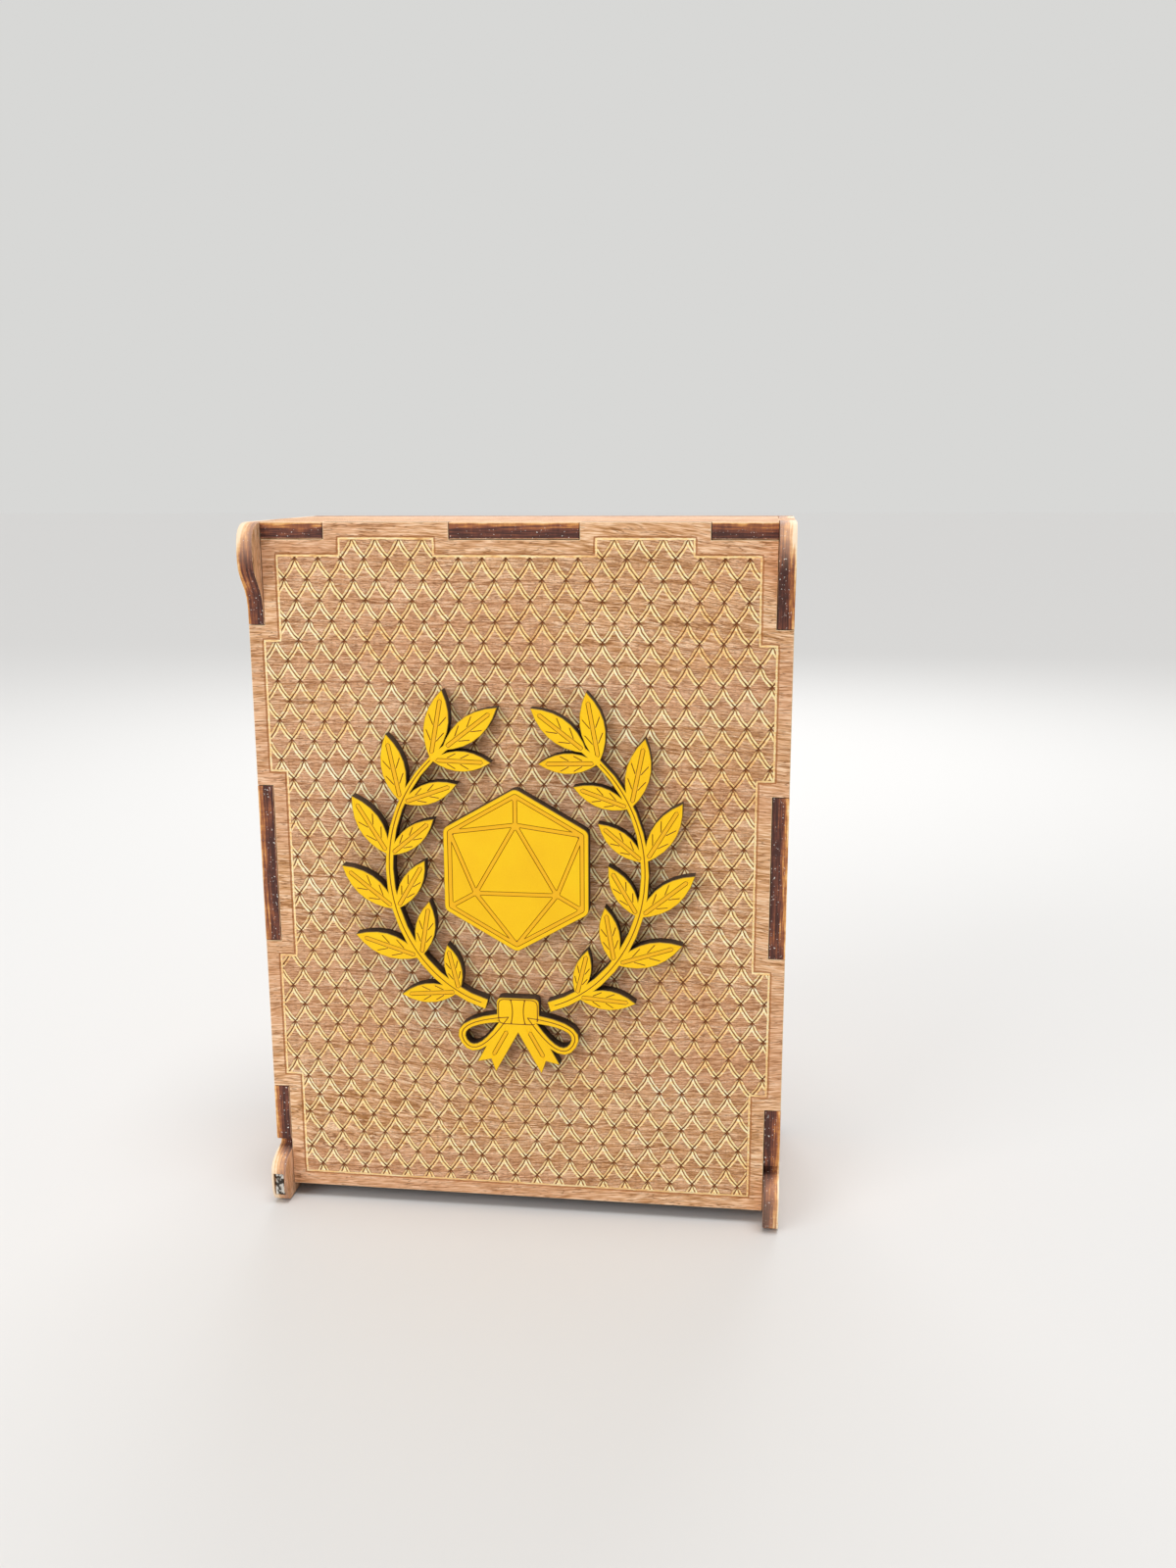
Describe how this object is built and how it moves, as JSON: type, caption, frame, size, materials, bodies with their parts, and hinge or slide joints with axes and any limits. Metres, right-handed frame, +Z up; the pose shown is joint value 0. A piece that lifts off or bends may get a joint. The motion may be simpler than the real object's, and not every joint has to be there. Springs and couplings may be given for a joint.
{
  "type": "dice tower",
  "caption": "Folding plywood dice tower: the front half is a rolling tray that swings down in front of a chute with sloping baffles.",
  "frame": {"origin": "on the table under the middle of the closed box", "axes": "+X to the right seen from the front, +Y towards the back panel, +Z up"},
  "size_m": [0.108, 0.0506, 0.1448],
  "materials": {
    "walnut_ply": "bare walnut veneer on plywood, laser-burnt edges",
    "engraved_walnut_ply": "bare walnut veneer, laser-engraved",
    "yellow_board": "satin yellow paint on board, laser-cut edges",
    "magnet_steel": "nickel plated",
    "pin_steel": "cut steel rod"
  },
  "bodies": {
    "tower": {"tower_back_panel": "walnut_ply", "tower_front_wall": "walnut_ply", "tower_side_left": "walnut_ply", "tower_side_right": "walnut_ply", "tower_base": "walnut_ply", "baffle_upper": "walnut_ply", "baffle_lower": "walnut_ply", "exit_ramp": "walnut_ply", "tower_latch_magnet_left": "magnet_steel", "tower_latch_magnet_right": "magnet_steel", "tower_foot_magnet_left": "magnet_steel", "tower_foot_magnet_right": "magnet_steel"},
    "tray": {"front_panel": "engraved_walnut_ply", "tray_side_left": "walnut_ply", "tray_side_right": "walnut_ply", "tray_end_wall": "walnut_ply", "hinge_pin_left": "pin_steel", "hinge_pin_right": "pin_steel", "tray_latch_magnet_left": "magnet_steel", "tray_latch_magnet_right": "magnet_steel", "foot_magnet_left": "magnet_steel", "foot_magnet_right": "magnet_steel", "wreath_left": "yellow_board", "wreath_right": "yellow_board", "die_emblem": "yellow_board", "ribbon": "yellow_board"}
  },
  "joints": [
    {"name": "tray_hinge", "type": "hinge", "parent": "tower", "child": "tray", "pos_m": [0, -0.01275, 0.0125], "axis": [1, 0, 0], "range_deg": [0, 90]}
  ]
}
